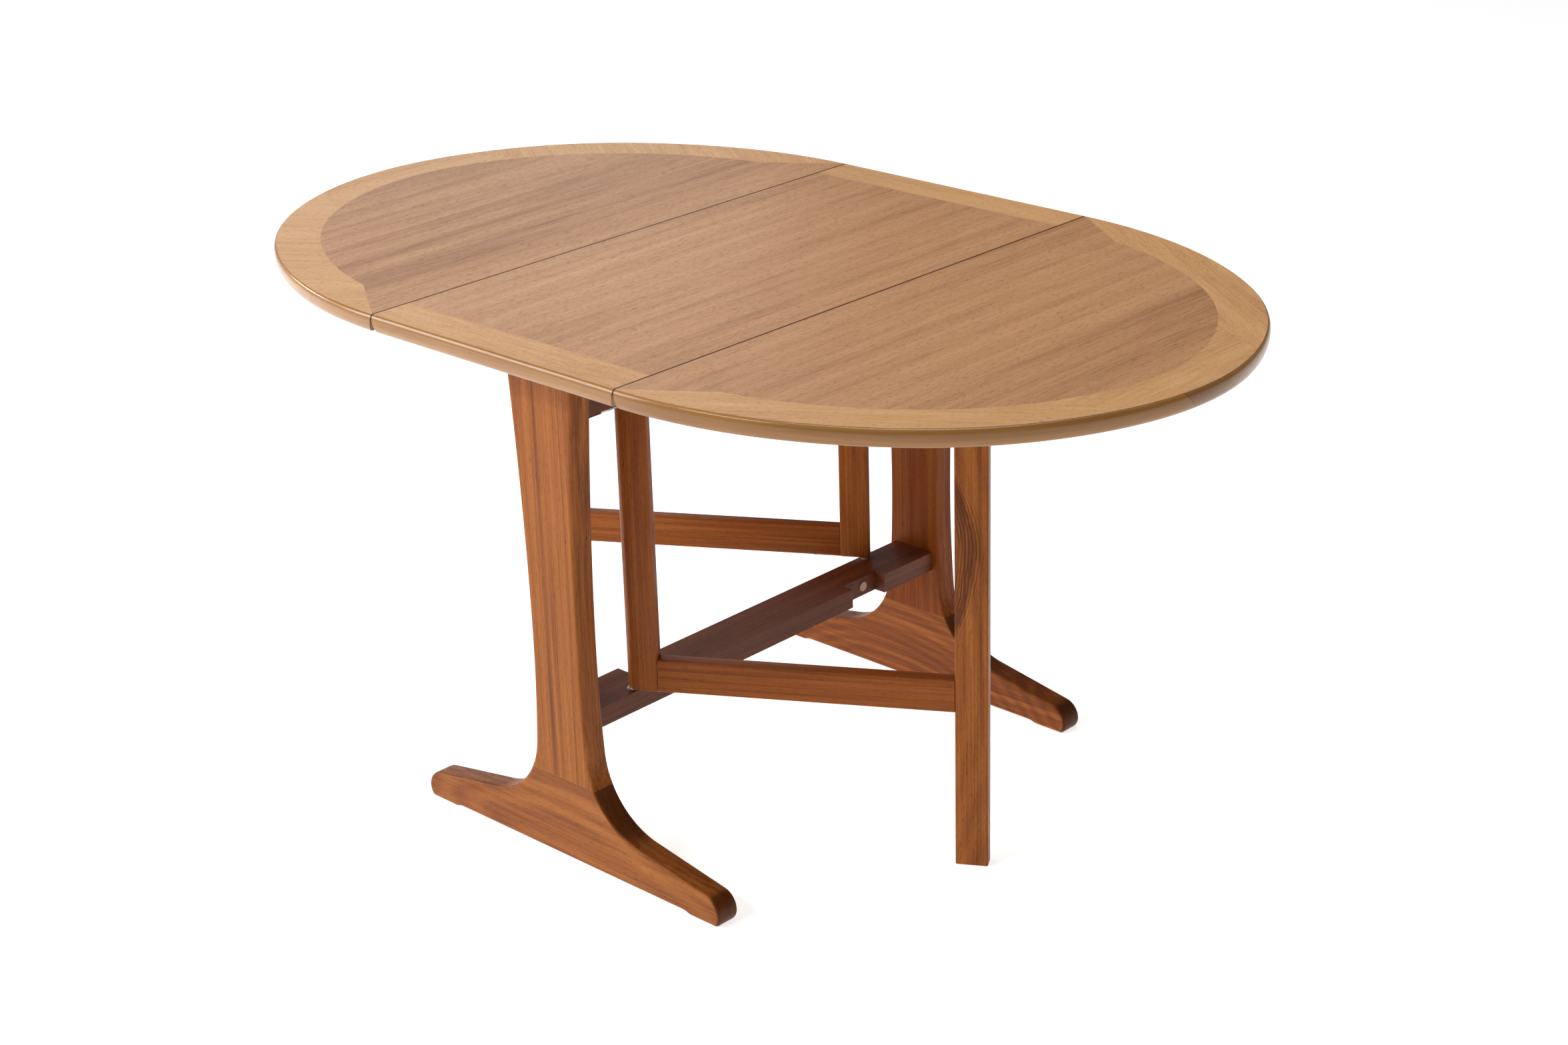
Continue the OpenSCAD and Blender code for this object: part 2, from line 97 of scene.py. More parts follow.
class Wire:
    """A shader value that takes part in sums; each operator adds one Math node."""

    def __init__(self, book: "Book", socket: bpy.types.NodeSocket) -> None:
        """Wraps the output socket of a node in the given book."""
        self.book, self.socket = book, socket

    def math(self, operation: str, *values: Union["Wire", Number], clamp: bool = False) -> "Wire":
        """Adds a Math node with this operation on the values.

        Args:
            operation: The node's operation.
            values: Wires or numbers for its inputs, in order.
            clamp: Whether the result is kept between 0 and 1.
        Returns:
            The result.
        """
        settings = {"operation": operation, "use_clamp": clamp}
        return self.book.add("ShaderNodeMath", settings, dict(enumerate(values)))

    def __add__(self, other: Union["Wire", Number]) -> "Wire":
        """Sum."""
        return self.math("ADD", self, other)

    def __sub__(self, other: Union["Wire", Number]) -> "Wire":
        """Difference."""
        return self.math("SUBTRACT", self, other)

    def __rsub__(self, other: Union["Wire", Number]) -> "Wire":
        """Difference with this value second."""
        return self.math("SUBTRACT", other, self)

    def __mul__(self, other: Union["Wire", Number]) -> "Wire":
        """Product."""
        return self.math("MULTIPLY", self, other)

    def __pow__(self, other: Union["Wire", Number]) -> "Wire":
        """Power."""
        return self.math("POWER", self, other)

    __radd__ = __add__
    __rmul__ = __mul__

    def __abs__(self) -> "Wire":
        """Size without sign."""
        return self.math("ABSOLUTE", self)

    def sine(self) -> "Wire":
        """Sine of the value in radians."""
        return self.math("SINE", self)

    def clamped(self) -> "Wire":
        """The value kept between 0 and 1."""
        return self.math("ADD", self, 0.0, clamp=True)

    def ease(self, low: float, high: float) -> "Wire":
        """A soft step that is 0 below low and 1 above high (or the other way round).

        Args:
            low: Value at which the step starts.
            high: Value at which the step ends.
        Returns:
            The step, between 0 and 1.
        """
        reverse = low > high
        inputs = {"Value": self, "From Min": min(low, high), "From Max": max(low, high)}
        settings = {"interpolation_type": "SMOOTHSTEP", "clamp": True}
        step = self.book.add("ShaderNodeMapRange", settings, inputs)
        return 1 - step if reverse else step


class Book:
    """The node tree of one finish, with its Principled shader."""

    def __init__(self, name: str) -> None:
        """Starts a material of this name with a shader and an output."""
        self.material = bpy.data.materials.new(name)
        self.material.use_nodes = True
        self.tree = self.material.node_tree
        self.tree.nodes.clear()
        self.shader = self.tree.nodes.new("ShaderNodeBsdfPrincipled")
        end = self.tree.nodes.new("ShaderNodeOutputMaterial")
        self.tree.links.new(self.shader.outputs["BSDF"], end.inputs["Surface"])

    def put(self, socket: bpy.types.NodeSocket, value: Union[Wire, Number, tuple]) -> None:
        """Sets a socket to a value, or links a wire to it."""
        if isinstance(value, Wire):
            self.tree.links.new(value.socket, socket)
        elif isinstance(value, tuple) and len(value) == 3 and socket.type == "RGBA":
            socket.default_value = (*value, 1.0)
        else:
            socket.default_value = value

    def add(self, kind: str, settings: dict, inputs: dict, out: Union[int, str] = 0) -> Wire:
        """Adds any node: its settings first, then the values or links of its sockets.

        Args:
            kind: The node's type.
            settings: Its properties; "stops" holds a ramp's places and colours.
            inputs: Values or wires by socket name or number.
            out: The output that is handed back.
        Returns:
            That output.
        """
        node = self.tree.nodes.new(kind)
        for key, value in settings.items():
            if key == "stops":
                self._set_stops(node.color_ramp, value)
            else:
                setattr(node, key, value)
        for key, value in inputs.items():
            self.put(node.inputs[key], value)
        return Wire(self, node.outputs[out])

    @staticmethod
    def _set_stops(ramp: bpy.types.ColorRamp, stops: list) -> None:
        """Gives a colour ramp these (place, colour) stops."""
        while len(ramp.elements) < len(stops):
            ramp.elements.new(0.5)
        for element, (place, colour) in zip(ramp.elements, stops):
            element.position = place
            element.color = (*colour, 1.0)

    def ramp(self, value: Wire, stops: list) -> Wire:
        """The colour at this value between the (place, colour) stops."""
        return self.add("ShaderNodeValToRGB", {"stops": stops}, {"Fac": value}, "Color")

    def mix(self, share: Union[Wire, Number], a: Union[Wire, tuple],
            b: Union[Wire, tuple]) -> Wire:
        """Mixes two colours.

        Args:
            share: How much of b.
            a: First colour.
            b: Second colour.
        Returns:
            The mixed colour.
        """
        settings = {"data_type": "RGBA"}
        return self.add("ShaderNodeMix", settings, {0: share, 6: a, 7: b}, 2)

    def place(self, turn: Colour = (0.0, 0.0, 0.0), shift: Colour = (0.0, 0.0, 0.0)) -> Wire:
        """Object coordinates, turned and shifted."""
        at = self.add("ShaderNodeTexCoord", {}, {}, "Object")
        inputs = {"Vector": at, "Rotation": turn, "Location": shift}
        return self.add("ShaderNodeMapping", {"vector_type": "POINT"}, inputs)

    def own_map(self) -> Wire:
        """The piece's own map of lengths along and across the fibres."""
        settings = {"attribute_type": "GEOMETRY", "attribute_name": GRAIN_MAP}
        return self.add("ShaderNodeAttribute", settings, {}, "Vector")

    def scaled(self, at: Wire, factor: Colour) -> Wire:
        """The place, stretched by a factor on each axis."""
        return self.add("ShaderNodeVectorMath", {"operation": "MULTIPLY"}, {0: at, 1: factor})

    def noise(self, at: Wire, factor: Colour, detail: float = 2.0, twist: float = 0.0,
              rough: float = 0.5) -> Wire:
        """Noise with this many waves to the metre on each axis.

        Args:
            at: The place.
            factor: Waves to the metre along the fibres and the two ways across.
            detail: Octaves.
            twist: Distortion.
            rough: Share of the finer octaves.
        Returns:
            A value about 0.5.
        """
        inputs = {"Vector": self.scaled(at, factor), "Scale": 1.0, "Detail": detail,
                  "Distortion": twist, "Roughness": rough}
        return self.add("ShaderNodeTexNoise", {"noise_dimensions": "3D"}, inputs, "Fac")

    def split(self, at: Wire) -> tuple[Wire, Wire, Wire]:
        """The place's three parts."""
        node = self.tree.nodes.new("ShaderNodeSeparateXYZ")
        self.put(node.inputs[0], at)
        return tuple(Wire(self, node.outputs[i]) for i in range(3))

    def bump(self, height: Wire, strength: float, depth: float) -> None:
        """Raises the surface by a height before it is shaded."""
        inputs = {"Height": height, "Strength": strength, "Distance": depth}
        self.put(self.shader.inputs["Normal"], self.add("ShaderNodeBump", {}, inputs, "Normal"))

    def finish(self, colour: Union[Wire, tuple], rough: Union[Wire, Number],
               uniform: dict[str, Number]) -> bpy.types.Material:
        """Feeds the shader.

        Args:
            colour: Base colour.
            rough: Roughness.
            uniform: Values that are the same all over the surface.
        Returns:
            The material.
        """
        self.put(self.shader.inputs["Base Color"], colour)
        self.put(self.shader.inputs["Roughness"], rough)
        for name, value in uniform.items():
            self.put(self.shader.inputs[name], value)
        return self.material


@dataclass(frozen=True)
class Wood:
    """A polished wood: streaks, growth lines, pores and broad zones of colour."""

    name: str
    pale: Colour
    mid: Colour
    dark: Colour
    grain: Grain
    shift: Colour = (0.0, 0.0, 0.0)
    zone: float = 0.5
    zone_waves: Colour = (0.9, 7.0, 7.0)
    streak: float = 0.6
    streak_waves: Colour = (1.6, 46.0, 46.0)
    line: float = 0.35
    line_waves: Colour = (7.0, 300.0, 300.0)
    pore: float = 0.5
    pore_waves: Colour = (95.0, 1150.0, 1150.0)
    ring: float = 0.0
    ring_heart: Colour = (0.0, 0.0, 0.0)
    ring_pitch: float = 0.011
    ring_lean: float = 0.03
    gloss: float = 0.42
    coat: float = 0.25
    sheen_over: float = 0.3
    shine: float = 0.3
    seam_at: float = 0.0
    swirl: float = 0.0
    # Share of painted shade along the hinge gaps.
    joint_dirt: float = 0.0
    # Share of painted shade on the faces that look towards +X.
    dark_side: float = 0.0

    def material(self) -> bpy.types.Material:
        """Builds the wood.

        The tone is a half plus a weighted sum of three noises stretched along the
        fibres, plus rings: the sine of the distance from a leaning heart. A ramp turns
        the tone to colour, and short dark pores and a painted shade along the hinge gaps
        are laid over it. A painted shade also darkens the faces that look towards +X; it
        only adjusts their tone, and stands for nothing known in the timber.

        Returns:
            The material.
        """
        book = Book(self.name)
        own = self.grain is Grain.OWN_MAP
        at = book.own_map() if own else book.place(self.grain.value, self.shift)
        zone = book.noise(at, self.zone_waves, 2.0, 0.2)
        streak = book.noise(at, self.streak_waves, 3.0, 0.25, 0.55)
        line = book.noise(at, self.line_waves, 2.0, 0.1, 0.6)
        tone = 0.5 + self.zone * (zone - 0.5) * 2 + self.streak * (streak - 0.5) * 2
        tone = tone + self.line * (line - 0.5) * 2
        if self.ring:
            tone = tone + self.ring * self._rings(book, at)
        if self.swirl:
            tone = tone - self.swirl * self._swirl(book)
        pores = book.noise(at, self.pore_waves, 1.0, 0.0).ease(*PORE_STEP)
        tone = tone.clamped()
        colour = book.ramp(tone, [(0.0, self.dark), (0.5, self.mid), (1.0, self.pale)])
        deep = tuple(0.55 * c for c in self.dark)
        colour = book.mix(pores * self.pore, colour, deep)
        if self.seam_at:
            colour = self._seam(book, colour, deep)
        # Painted shade along the hinge gaps, darkening the surfaces beside each gap.
        if self.joint_dirt:
            x, _, _ = book.split(book.place())
            close = abs(abs(x) - HINGE_X).ease(*GAP_SHADE_REACH)
            colour = book.mix(close * self.joint_dirt, colour, deep)
        # Painted shade: faces that look towards +X are darkened towards the deep tone.
        if self.dark_side:
            normal = book.add("ShaderNodeNewGeometry", {}, {}, "Normal")
            side_shade_share = book.split(normal)[0].ease(*SIDE_SHADE_NORMAL)
            colour = book.mix(side_shade_share * self.dark_side, colour, deep)
        rough = self.gloss + pores * 0.16 + (0.5 - tone) * 0.08
        book.bump(line * 0.35 - pores, 0.22, 0.0004)
        uniform = {"Coat Weight": self.coat, "Coat Roughness": self.sheen_over,
                   "IOR": 1.45, "Specular IOR Level": self.shine}
        return book.finish(colour, rough, uniform)

    def _rings(self, book: Book, at: Wire) -> Wire:
        """Growth rings cut by the surface.

        Distance from the heart across the fibres, the heart drifting away with the square
        of the length along them, plus a slow bend; the sine of that over the ring pitch.
        """
        along, across, deep = book.split(at)
        bend = book.noise(at, (2.2, 16.0, 16.0), 2.0, 0.3) * 0.045
        a = across - self.ring_heart[1]
        b = deep - self.ring_heart[2]
        drift = (along - self.ring_heart[0]) ** 2.0 * self.ring_lean
        radius = (a * a + b * b + drift) ** 0.5 + bend
        return (radius * (2 * math.pi / self.ring_pitch)).sine()

    def _swirl(self, book: Book) -> Wire:
        """Dark heartwood that bows out of one edge of a gate leg and back.

        Lengths across the leg and up it are turned into the gate's axes; the dark edge
        follows a parabola of the height, broken by a slow noise, with two thin echoes.
        """
        x, y, z = book.split(book.place())
        c, s = math.cos(GATE_TURN), math.sin(GATE_TURN)
        leg_u = abs(x * c + y * s) + GATE_PIVOT_U
        wander = book.noise(book.place(), (18.0, 18.0, 7.0), 3.0, 0.4) * 0.012
        height = (z - SWIRL_Z) * (1 / SWIRL_REACH)
        bow = SWIRL_EDGE_U + (1 - height * height) * SWIRL_BULGE
        inside = bow - leg_u + wander
        core = inside.ease(-0.001, 0.006) * (1 - inside.ease(0.006, 0.02) * 0.7)
        echo = (inside * SWIRL_LINES).sine().ease(0.0, 0.9) * inside.ease(-0.012, 0.002) * 0.7
        return (core + echo) * abs(height).ease(1.3, 0.6)

    def _seam(self, book: Book, colour: Wire, deep: Colour) -> Wire:
        """A glued scarf: a hair line across the edge, and a darker length beyond it."""
        _, y, z = book.split(book.place())
        offset = y - self.seam_at + (z - SEAM_Z) * 0.9
        hair = abs(offset).ease(0.0009, 0.0003)
        beyond = offset.ease(-0.0002, 0.0004) * offset.ease(0.16, 0.05)
        colour = book.mix(beyond * 0.3, colour, deep)
        return book.mix(hair * 0.75, colour, deep)


@dataclass(frozen=True)
class Metal:
    """Zinc-plated steel with a brushed, faintly clouded face."""

    name: str
    bright: Colour = (0.72, 0.72, 0.70)
    dull: Colour = (0.42, 0.42, 0.41)
    rough: float = 0.34

    def material(self) -> bpy.types.Material:
        """Clouded colour and roughness with a fine brushed bump."""
        book = Book(self.name)
        at = book.place()
        cloud = book.noise(at, (90.0, 90.0, 90.0), 3.0)
        brush = book.noise(at, (300.0, 2600.0, 2600.0), 2.0)
        colour = book.mix(cloud.ease(0.3, 0.7), self.dull, self.bright)
        book.bump(brush, 0.15, 0.0002)
        return book.finish(colour, self.rough + (brush - 0.5) * 0.3, {"Metallic": 0.6})


@dataclass(frozen=True)
class Plastic:
    """Moulded nylon, slightly scuffed."""

    name: str
    pale: Colour = (0.44, 0.25, 0.18)
    worn: Colour = (0.30, 0.15, 0.10)

    def material(self) -> bpy.types.Material:
        """Two close tones with a scuffed roughness and a fine orange-peel bump."""
        book = Book(self.name)
        at = book.place()
        scuff = book.noise(at, (420.0, 420.0, 420.0), 3.0)
        colour = book.mix(scuff.ease(0.45, 0.75), self.pale, self.worn)
        book.bump(book.noise(at, (1800.0, 1800.0, 1800.0), 1.0), 0.1, 0.0001)
        return book.finish(colour, 0.45 + scuff * 0.15, {"IOR": 1.5})


@dataclass(frozen=True)
class Floor:
    """A white painted studio floor with faint scuffs."""

    name: str
    glow: float = 0.76

    def material(self) -> bpy.types.Material:
        """White that glows a little, with sparse faint grey scuffs."""
        book = Book(self.name)
        at = book.place()
        patch = book.noise(at, (1.3, 1.3, 1.3), 3.0).ease(0.55, 0.7)
        mark = book.noise(at, (26.0, 34.0, 30.0), 5.0, 0.9, 0.7).ease(0.66, 0.74) * patch
        colour = book.mix(mark * 0.35, (0.86, 0.86, 0.86), (0.5, 0.49, 0.47))
        uniform = {"Emission Strength": self.glow, "Specular IOR Level": 0.1}
        book.put(book.shader.inputs["Emission Color"], (1.0, 1.0, 1.0))
        return book.finish(colour, 0.7, uniform)


# ---------------------------------------------------------------------------- surfaces


def new_piece(name: str, points: np.ndarray, faces: list, maps: np.ndarray = None,
              smooth_below: float = 34.0) -> bpy.types.Object:
    """Makes a mesh object at the origin from points and faces.

    Args:
        name: The piece's name.
        points: Places, one row each.
        faces: Loops of point numbers.
        maps: Lengths along and across the fibres at each point, where the finish asks.
        smooth_below: Edges sharper than this many degrees stay crisp.
    Returns:
        The object.
    """
    mesh = bpy.data.meshes.new(name)
    mesh.from_pydata(points.tolist(), [], faces)
    mesh.polygons.foreach_set("use_smooth", np.ones(len(mesh.polygons), dtype=bool))
    mesh.set_sharp_from_angle(angle=math.radians(smooth_below))
    if maps is not None:
        attribute = mesh.attributes.new(GRAIN_MAP, "FLOAT_VECTOR", "POINT")
        attribute.data.foreach_set("vector", maps.astype(np.float32).ravel())
    mesh.validate()
    mesh.update()
    piece = bpy.data.objects.new(name, mesh)
    bpy.context.scene.collection.objects.link(piece)
    return piece


def grid_faces(rows: int, columns: int, wrap: bool) -> np.ndarray:
    """Quads over a grid of points numbered row by row.

    Args:
        rows: Rows of points.
        columns: Points in a row.
        wrap: Whether each row closes on itself.
    Returns:
        Four point numbers a quad.
    """
    across = np.arange(columns if wrap else columns - 1)
    row = np.arange(rows - 1)[:, None] * columns
    here, beside = row + across, row + (across + 1) % columns
    quads = np.stack([here, beside, beside + columns, here + columns], -1)
    return quads.reshape(-1, 4)


def closed_sweep(name: str, loops: np.ndarray, maps: np.ndarray = None) -> bpy.types.Object:
    """A closed skin through a stack of loops, capped at both ends.

    Args:
        name: The piece's name.
        loops: Points as (loop, place in the loop, xyz).
        maps: Fibre lengths, laid out like the loops.
    Returns:
        The object, its faces pointing outwards.
    """
    rows, columns, _ = loops.shape
    faces = grid_faces(rows, columns, wrap=True).tolist()
    faces.append(list(range(columns))[::-1])
    faces.append([(rows - 1) * columns + k for k in range(columns)])
    points = loops.reshape(-1, 3)
    flat = None if maps is None else maps.reshape(-1, 3)
    first, last = loops[:-1], loops[1:]
    turned = np.roll(loops, -1, axis=1)
    corners = np.cross(turned[:-1] - first, last - first)
    volume = float((corners * first).sum() / 3)
    for end, sign in ((loops[0], -1.0), (loops[-1], 1.0)):
        hub = end.mean(0)
        fan = np.cross(end - hub, np.roll(end, -1, axis=0) - hub)
        volume += sign * float((fan * hub).sum()) / 6
    if volume < 0:
        faces = [face[::-1] for face in faces]
    return new_piece(name, points, faces, flat)


def outward(outline: np.ndarray) -> np.ndarray:
    """Unit normals of a closed outline that runs anticlockwise, at its points.

    The tangent at a point is the sum of the unit edges before and after it, turned
    clockwise by a quarter.
    """
    edge = np.roll(outline, -1, axis=0) - outline
    edge /= np.linalg.norm(edge, axis=1)[:, None]
    tangent = edge + np.roll(edge, 1, axis=0)
    normal = np.stack([tangent[:, 1], -tangent[:, 0]], 1)
    length = np.linalg.norm(normal, axis=1)[:, None]
    stretch = 2.0 / np.maximum(length, 1.2)
    return normal / length * np.minimum(stretch, 1.5)


def eased_board(name: str, outline: np.ndarray, normals: np.ndarray, low: float, high: float,
                ease: float, lay: Callable, steps: int = 5) -> bpy.types.Object:
    """A flat outline given a thickness, with its edges rounded to a quarter circle.

    Across the thickness the outline steps in by ease times one minus the cosine of the
    angle, while it runs on by ease times the sine. One more step in, in the flat of the
    face, keeps the face's shading flat.

    Args:
        name: The piece's name.
        outline: Points (a, b), anticlockwise.
        normals: Outward normals at the points.
        low: Where the thickness starts.
        high: Where it ends.
        ease: Radius of the rounded edges.
        lay: Turns arrays a, b and c, the place across the thickness, to xyz.
        steps: Facets in a rounded edge.
    Returns:
        The object.
    """
    angle = np.linspace(0, math.pi / 2, steps + 1)
    inset = ease * (1 - np.cos(angle))
    rise = ease * np.sin(angle)
    ins = np.concatenate([[ease * 1.35], inset[::-1], inset, [ease * 1.35]])
    run = np.concatenate([[low], low + ease - rise[::-1], high - ease + rise, [high]])
    flat = outline[None] - normals[None] * ins[:, None, None]
    a, b = flat[..., 0], flat[..., 1]
    c = np.broadcast_to(run[:, None], a.shape)
    return closed_sweep(name, np.stack(lay(a, b, c), -1))


def arc(centre: tuple, radius: float, start: float, end: float, count: int) -> np.ndarray:
    """Points on a circle: centre plus radius times (cosine, sine) of even angles."""
    angle = np.radians(np.linspace(start, end, count))
    return np.array(centre) + radius * np.stack([np.cos(angle), np.sin(angle)], -1)


def evened(path: np.ndarray, pitch: float) -> np.ndarray:
    """An open path's points at even lengths about pitch apart, ends kept."""
    length = np.concatenate([[0], np.cumsum(np.linalg.norm(np.diff(path, axis=0), axis=1))])
    spots = np.linspace(0, length[-1], max(2, int(round(length[-1] / pitch)) + 1))
    return np.stack([np.interp(spots, length, path[:, k]) for k in range(2)], -1)


def half_turn(points: np.ndarray, side: Side) -> np.ndarray:
    """Points on the right side carried to the given side by a half turn about Z."""
    return points * np.array([side.value, side.value, 1.0])


def rounded_box(low: tuple, high: tuple, radii: tuple, per: int = 6) -> np.ndarray:
    """A rectangle's outline with its own radius at each corner, anticlockwise.

    Args:
        low: Lower corner.
        high: Upper corner.
        radii: Radii at (low, low), (high, low), (high, high) and (low, high).
        per: Facets at a corner.
    Returns:
        The outline's points.
    """
    corners = [(low[0], low[1], 1, 1, 180), (high[0], low[1], -1, 1, 270),
               (high[0], high[1], -1, -1, 0), (low[0], high[1], 1, -1, 90)]
    parts = [arc((x + sx * r, y + sy * r), r, start, start + 90, per + 1)
             for (x, y, sx, sy, start), r in zip(corners, radii)]
    return np.concatenate(parts)


# ------------------------------------------------------------------------ sub-assemblies


@dataclass
class Dressing:
    """The table's finishes, one material each, made once."""

    finishes: dict = field(default_factory=dict)

    def dress(self, piece: bpy.types.Object, finish: object) -> bpy.types.Object:
        """Puts a finish on a piece, in its only paint slot.

        Args:
            piece: The piece, or a CAD node's object.
            finish: A Wood, Metal, Plastic or Floor.
        Returns:
            The piece.
        """
        if finish.name not in self.finishes:
            self.finishes[finish.name] = finish.material()
        piece.data.materials.clear()
        piece.data.materials.append(self.finishes[finish.name])
        return piece

    def dress_node(self, node: str, finish: object) -> None:
        """Puts a finish on a CAD node, which stays as it is."""
        self.dress(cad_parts[node], finish)
        LOG.info("node %s: %s", node, finish.name)


FIELD_PALE, FIELD_MID, FIELD_DARK = (0.51, 0.268, 0.126), (0.41, 0.203, 0.09), (0.24, 0.102, 0.04)
BAND_PALE, BAND_MID, BAND_DARK = (0.64, 0.375, 0.175), (0.53, 0.283, 0.116), (0.36, 0.165, 0.062)
FIELD = Wood("field veneer", FIELD_PALE, FIELD_MID, FIELD_DARK, Grain.ALONG_Y,
             zone=0.55, zone_waves=(0.7, 4.6, 4.6), streak=0.5, streak_waves=(1.1, 46.0, 46.0),
             line=0.5, line_waves=(11.0, 420.0, 420.0), pore=0.55,
             pore_waves=(105.0, 820.0, 820.0), gloss=0.4, coat=0.1, shine=0.35, joint_dirt=0.95)
FIELD_RIGHT = replace(FIELD, name="field veneer, right leaf", shift=(0.31, 0.2, 0.0))
FIELD_LEFT = replace(FIELD, name="field veneer, left leaf", shift=(-0.27, 0.12, 0.0))
BAND_ACROSS = Wood("border veneer across", BAND_PALE, BAND_MID, BAND_DARK, Grain.ALONG_X,
                   zone=0.25, streak=0.35, line=0.5, line_waves=(16.0, 380.0, 380.0),
                   pore=0.5, pore_waves=(120.0, 800.0, 800.0), gloss=0.4, coat=0.1,
                   shine=0.35, joint_dirt=0.95)
BAND_ALONG = replace(BAND_ACROSS, name="border veneer along", grain=Grain.ALONG_Y)
BAND_RISING = replace(BAND_ACROSS, name="border veneer rising", grain=Grain.CHORD_RISING)
BAND_FALLING = replace(BAND_ACROSS, name="border veneer falling", grain=Grain.CHORD_FALLING)
GOLD = Wood("golden lipping", (0.43, 0.215, 0.056), (0.31, 0.135, 0.028), (0.18, 0.07, 0.013),
            Grain.OWN_MAP, zone=0.4, zone_waves=(3.0, 10.0, 10.0), streak=0.35,
            streak_waves=(5.0, 130.0, 130.0), line=0.2, pore=0.18,
            pore_waves=(60.0, 900.0, 900.0), gloss=0.36, coat=0.5, sheen_over=0.12, shine=0.3,
            joint_dirt=0.75)
GOLD_SCARFED = replace(GOLD, name="golden lipping, scarfed", seam_at=-0.036)
EDGING = replace(GOLD, name="golden edging", grain=Grain.ALONG_Y)
TEAK_PALE, TEAK_MID, TEAK_DARK = (0.41, 0.14, 0.028), (0.29, 0.085, 0.012), (0.14, 0.034, 0.005)
POST = Wood("teak, post", TEAK_PALE, TEAK_MID, TEAK_DARK, Grain.ALONG_Z, zone=0.4,
            zone_waves=(0.8, 16.0, 16.0), streak=0.6, streak_waves=(0.7, 110.0, 110.0), line=0.5,
            line_waves=(4.0, 520.0, 520.0), pore=0.45, ring=0.06, ring_heart=(0.3, 0.05, 0.03),
            ring_pitch=0.012, gloss=0.42, coat=0.06, shine=0.15)
# The far post's tones are darker than the near post's: painted shade for the far end under the
# top.
SHADED_FAR_POST = replace(POST, name="teak, far post", shift=(0.2, 0.3, 0.0),
                   pale=(0.33, 0.09, 0.013), mid=(0.21, 0.047, 0.005), dark=(0.10, 0.02, 0.002),
                   shine=0.12, coat=0.03)
# Both feet carry a painted shade on their faces that look towards +X.
FOOT = Wood("teak, foot", TEAK_PALE, TEAK_MID, TEAK_DARK, Grain.ALONG_X, (0.0, 0.0, 0.02),
            zone=0.4, zone_waves=(1.6, 16.0, 16.0), streak=0.6, streak_waves=(1.6, 95.0, 95.0),
            line=0.5, line_waves=(6.0, 460.0, 460.0), pore=0.45, ring=0.14,
            ring_heart=(0.05, 0.35, -0.16), ring_pitch=0.013, ring_lean=0.5, gloss=0.4,
            coat=0.08, shine=0.16, dark_side=0.85)
# The far foot's mid and dark tones are lower than the near foot's: painted shade for the far end.
SHADED_FAR_FOOT = replace(FOOT, name="teak, far foot", shift=(0.1, 0.0, 0.05), ring=0.11,
                   ring_lean=0.7, ring_pitch=0.017, pale=(0.45, 0.15, 0.03),
                   mid=(0.25, 0.068, 0.011),
                   dark=(0.12, 0.03, 0.006), shine=0.16, coat=0.04)
GATE_LEG = Wood("teak, gate leg", (0.44, 0.16, 0.028), (0.31, 0.092, 0.013), (0.12, 0.028, 0.004),
                Grain.ALONG_Z, (0.12, 0.0, 0.3), zone=0.45, zone_waves=(2.4, 20.0, 20.0),
                streak=0.5, streak_waves=(1.2, 110.0, 110.0), line=0.5,
                line_waves=(4.0, 520.0, 520.0), pore=0.45, ring=0.07,
                ring_heart=(0.42, -0.01, 0.02), ring_pitch=0.016, ring_lean=0.12, gloss=0.4,
                coat=0.06, shine=0.16, swirl=0.5)
GATE_STILE = Wood("teak, gate stile", (0.42, 0.135, 0.026), (0.29, 0.08, 0.013),
                  (0.14, 0.033, 0.005), Grain.ALONG_Z, (0.4, 0.1, 0.0), zone=0.4, streak=0.5,
                  streak_waves=(1.0, 105.0, 105.0), line=0.5, line_waves=(4.0, 520.0, 520.0),
                  pore=0.45, ring=0.05, ring_heart=(0.2, 0.1, 0.0), gloss=0.42, coat=0.04,
                  shine=0.14)
GATE_RAIL = replace(GATE_STILE, name="teak, gate rail", grain=Grain.GATE_RAIL,
                    shift=(0.0, 0.0, 0.1))
# The stretchers' and bearers' teak is much darker than the posts': painted shade for their place
# under the top.
STRETCHER = Wood("dark teak, stretcher", (0.20, 0.056, 0.016), (0.125, 0.03, 0.008),
                 (0.058, 0.013, 0.004), Grain.ALONG_Y, zone=0.4, streak=0.7, line=0.4,
                 pore=0.4, gloss=0.48, coat=0.06, shine=0.3)
BEARER = replace(STRETCHER, name="dark teak, bearer", grain=Grain.ALONG_X)
CORE = Wood("core board", (0.50, 0.36, 0.21), (0.42, 0.29, 0.16), (0.30, 0.19, 0.10),
            Grain.ALONG_X, zone=0.25, streak=0.3, line=0.3, pore=0.35, gloss=0.6, coat=0.0)
BEECH = Wood("beech dowel", (0.66, 0.45, 0.27), (0.56, 0.36, 0.20), (0.42, 0.25, 0.13),
             Grain.ALONG_Z, zone=0.2, streak=0.2, line=0.2, pore=0.3, gloss=0.5, coat=0.05)
ZINC = Metal("zinc steel")
NYLON = Plastic("pale nylon")


